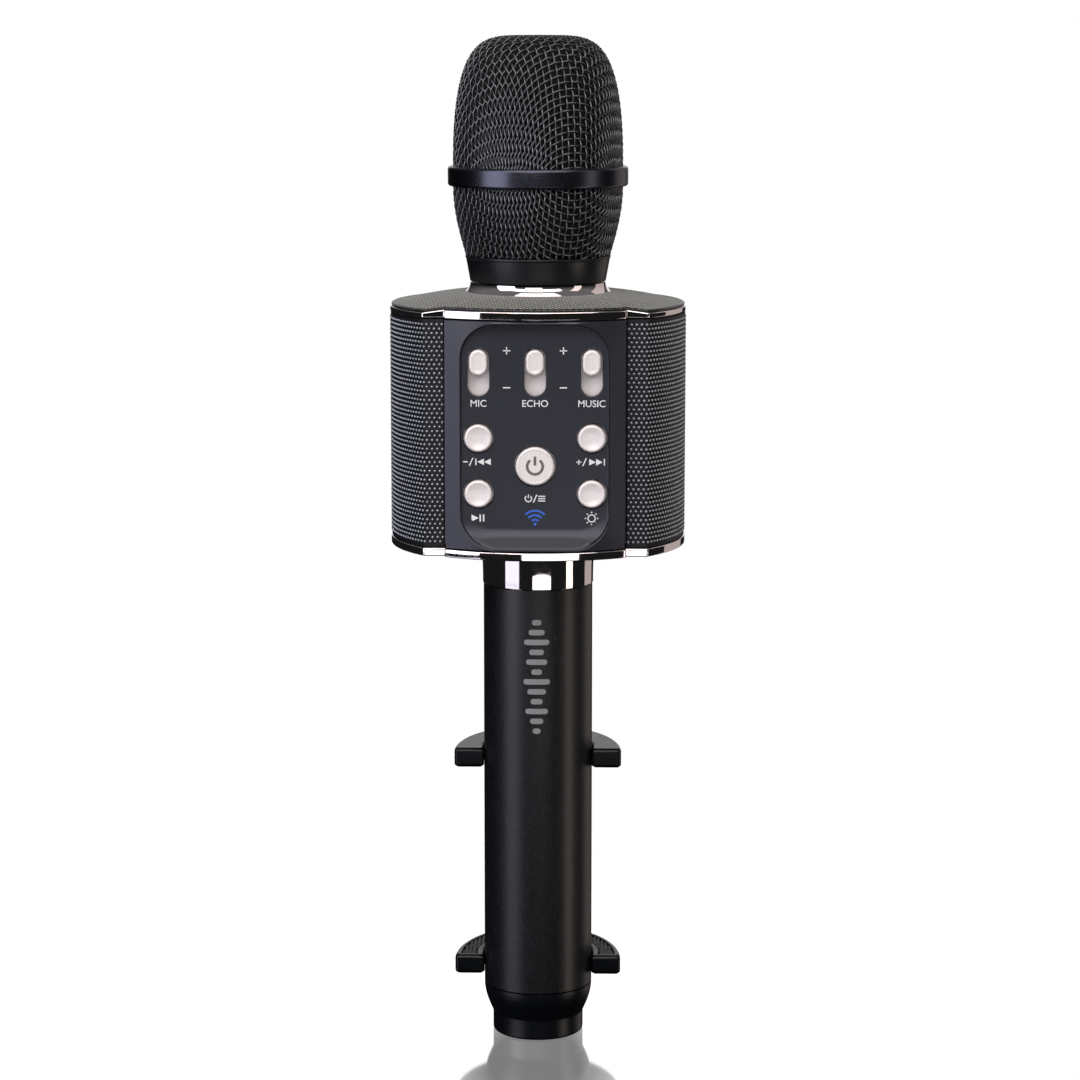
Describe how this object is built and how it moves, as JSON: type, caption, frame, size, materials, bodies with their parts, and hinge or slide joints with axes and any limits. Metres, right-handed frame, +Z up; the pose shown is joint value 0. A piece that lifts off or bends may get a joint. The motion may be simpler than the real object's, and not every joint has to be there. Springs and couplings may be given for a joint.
{
  "type": "karaoke microphone",
  "caption": "Handheld karaoke microphone with a woven metal head, a round speaker body with slide and push controls, and a sprung phone clamp on the handle.",
  "frame": {"origin": "middle of the tail cap's flat end, the lowest point of the microphone standing upright", "axes": "+Z up along the handle to the head, -Y out of the control panel, +X to the right seen from the control panel"},
  "size_m": [0.08, 0.0706, 0.275],
  "materials": {
    "audio_socket": "moulded black plastic",
    "back_panel": "moulded dark blue-grey plastic with a satin finish",
    "battery_cell": "film-wrapped metal can",
    "battery_sled": "moulded black plastic",
    "body_screw_left": "bright steel",
    "body_screw_right": "bright steel",
    "bottom_cover": "moulded black plastic",
    "bottom_trim": "bright chrome plating",
    "button_light": "silver metallised plastic",
    "button_next": "silver metallised plastic",
    "button_play": "silver metallised plastic",
    "button_power": "silver metallised plastic",
    "button_previous": "silver metallised plastic",
    "capsule": "metal cartridge shell",
    "capsule_carrier": "moulded black plastic",
    "capsule_shock_mount": "soft black rubber",
    "card_socket": "bright steel",
    "contact_spring": "bright steel",
    "control_board": "green glass-fibre circuit board",
    "control_panel": "moulded dark blue-grey plastic with a satin finish",
    "core_box": "moulded black plastic",
    "driver_basket_left": "bright steel",
    "driver_basket_right": "bright steel",
    "driver_cone_left": "black pressed paper",
    "driver_cone_right": "black pressed paper",
    "grille_left": "dark studded speaker grille sheet",
    "grille_right": "dark studded speaker grille sheet",
    "handle_tube": "black paint with fine metallic sparkle",
    "head_band": "satin black paint over metal",
    "head_base_ring": "satin black paint over metal",
    "head_mesh_lower": "black coated woven steel wire",
    "head_mesh_upper": "black coated woven steel wire",
    "jaw_carriage": "moulded black plastic",
    "jaw_lower": "moulded black plastic",
    "jaw_pad_lower": "soft black rubber",
    "jaw_pad_upper": "soft black rubber",
    "jaw_screw": "bright steel",
    "jaw_upper": "moulded black plastic",
    "led_board_left": "green glass-fibre circuit board",
    "led_board_right": "green glass-fibre circuit board",
    "lower_collar": "bright chrome plating",
    "main_board": "green glass-fibre circuit board",
    "neck_ring": "bright chrome plating",
    "return_spring": "bright steel",
    "slide_control_echo": "bright steel",
    "slide_control_mic": "bright steel",
    "slide_control_music": "bright steel",
    "slider_echo": "silver metallised plastic",
    "slider_mic": "silver metallised plastic",
    "slider_music": "silver metallised plastic",
    "switch_light": "black switch housing",
    "switch_next": "black switch housing",
    "switch_play": "black switch housing",
    "switch_power": "black switch housing",
    "switch_previous": "black switch housing",
    "tail_cap": "satin black paint over metal",
    "top_cover": "fine woven dark olive-grey cover",
    "top_trim": "bright chrome plating",
    "usb_socket": "bright steel",
    "windscreen_foam": "black open-cell foam"
  },
  "bodies": {
    "microphone": {"audio_socket": "audio_socket", "back_panel": "back_panel", "battery_cell": "battery_cell", "battery_sled": "battery_sled", "body_screw_left": "body_screw_left", "body_screw_right": "body_screw_right", "bottom_cover": "bottom_cover", "bottom_trim": "bottom_trim", "capsule": "capsule", "capsule_carrier": "capsule_carrier", "capsule_shock_mount": "capsule_shock_mount", "card_socket": "card_socket", "contact_spring": "contact_spring", "control_board": "control_board", "control_panel": "control_panel", "core_box": "core_box", "driver_basket_left": "driver_basket_left", "driver_basket_right": "driver_basket_right", "driver_cone_left": "driver_cone_left", "driver_cone_right": "driver_cone_right", "grille_left": "grille_left", "grille_right": "grille_right", "handle_tube": "handle_tube", "head_band": "head_band", "head_base_ring": "head_base_ring", "head_mesh_lower": "head_mesh_lower", "head_mesh_upper": "head_mesh_upper", "jaw_lower": "jaw_lower", "jaw_pad_lower": "jaw_pad_lower", "jaw_screw": "jaw_screw", "led_board_left": "led_board_left", "led_board_right": "led_board_right", "lower_collar": "lower_collar", "main_board": "main_board", "neck_ring": "neck_ring", "return_spring": "return_spring", "slide_control_echo": "slide_control_echo", "slide_control_mic": "slide_control_mic", "slide_control_music": "slide_control_music", "switch_light": "switch_light", "switch_next": "switch_next", "switch_play": "switch_play", "switch_power": "switch_power", "switch_previous": "switch_previous", "tail_cap": "tail_cap", "top_cover": "top_cover", "top_trim": "top_trim", "usb_socket": "usb_socket", "windscreen_foam": "windscreen_foam"},
    "upper_jaw": {"jaw_upper": "jaw_upper", "jaw_pad_upper": "jaw_pad_upper", "jaw_carriage": "jaw_carriage"},
    "mic_slider": {"slider_mic": "slider_mic"},
    "echo_slider": {"slider_echo": "slider_echo"},
    "music_slider": {"slider_music": "slider_music"},
    "previous_button": {"button_previous": "button_previous"},
    "next_button": {"button_next": "button_next"},
    "power_button": {"button_power": "button_power"},
    "play_button": {"button_play": "button_play"},
    "light_button": {"button_light": "button_light"}
  },
  "joints": [
    {"name": "jaw_slide", "type": "slide", "parent": "microphone", "child": "upper_jaw", "axis": [0, 0, 1], "range_m": [0, 0.03], "stiffness_N_per_m": 120, "springref_m": -0.04, "deforming": ["return_spring"]},
    {"name": "mic_slide", "type": "slide", "parent": "microphone", "child": "mic_slider", "axis": [0, 0, -1], "range_m": [0, 0.005]},
    {"name": "echo_slide", "type": "slide", "parent": "microphone", "child": "echo_slider", "axis": [0, 0, -1], "range_m": [0, 0.005]},
    {"name": "music_slide", "type": "slide", "parent": "microphone", "child": "music_slider", "axis": [0, 0, -1], "range_m": [0, 0.005]},
    {"name": "previous_press", "type": "slide", "parent": "microphone", "child": "previous_button", "axis": [0, 1, 0], "range_m": [0, 0.0008], "stiffness_N_per_m": 300},
    {"name": "next_press", "type": "slide", "parent": "microphone", "child": "next_button", "axis": [0, 1, 0], "range_m": [0, 0.0008], "stiffness_N_per_m": 300},
    {"name": "power_press", "type": "slide", "parent": "microphone", "child": "power_button", "axis": [0, 1, 0], "range_m": [0, 0.0008], "stiffness_N_per_m": 300},
    {"name": "play_press", "type": "slide", "parent": "microphone", "child": "play_button", "axis": [0, 1, 0], "range_m": [0, 0.0008], "stiffness_N_per_m": 300},
    {"name": "light_press", "type": "slide", "parent": "microphone", "child": "light_button", "axis": [0, 1, 0], "range_m": [0, 0.0008], "stiffness_N_per_m": 300}
  ]
}
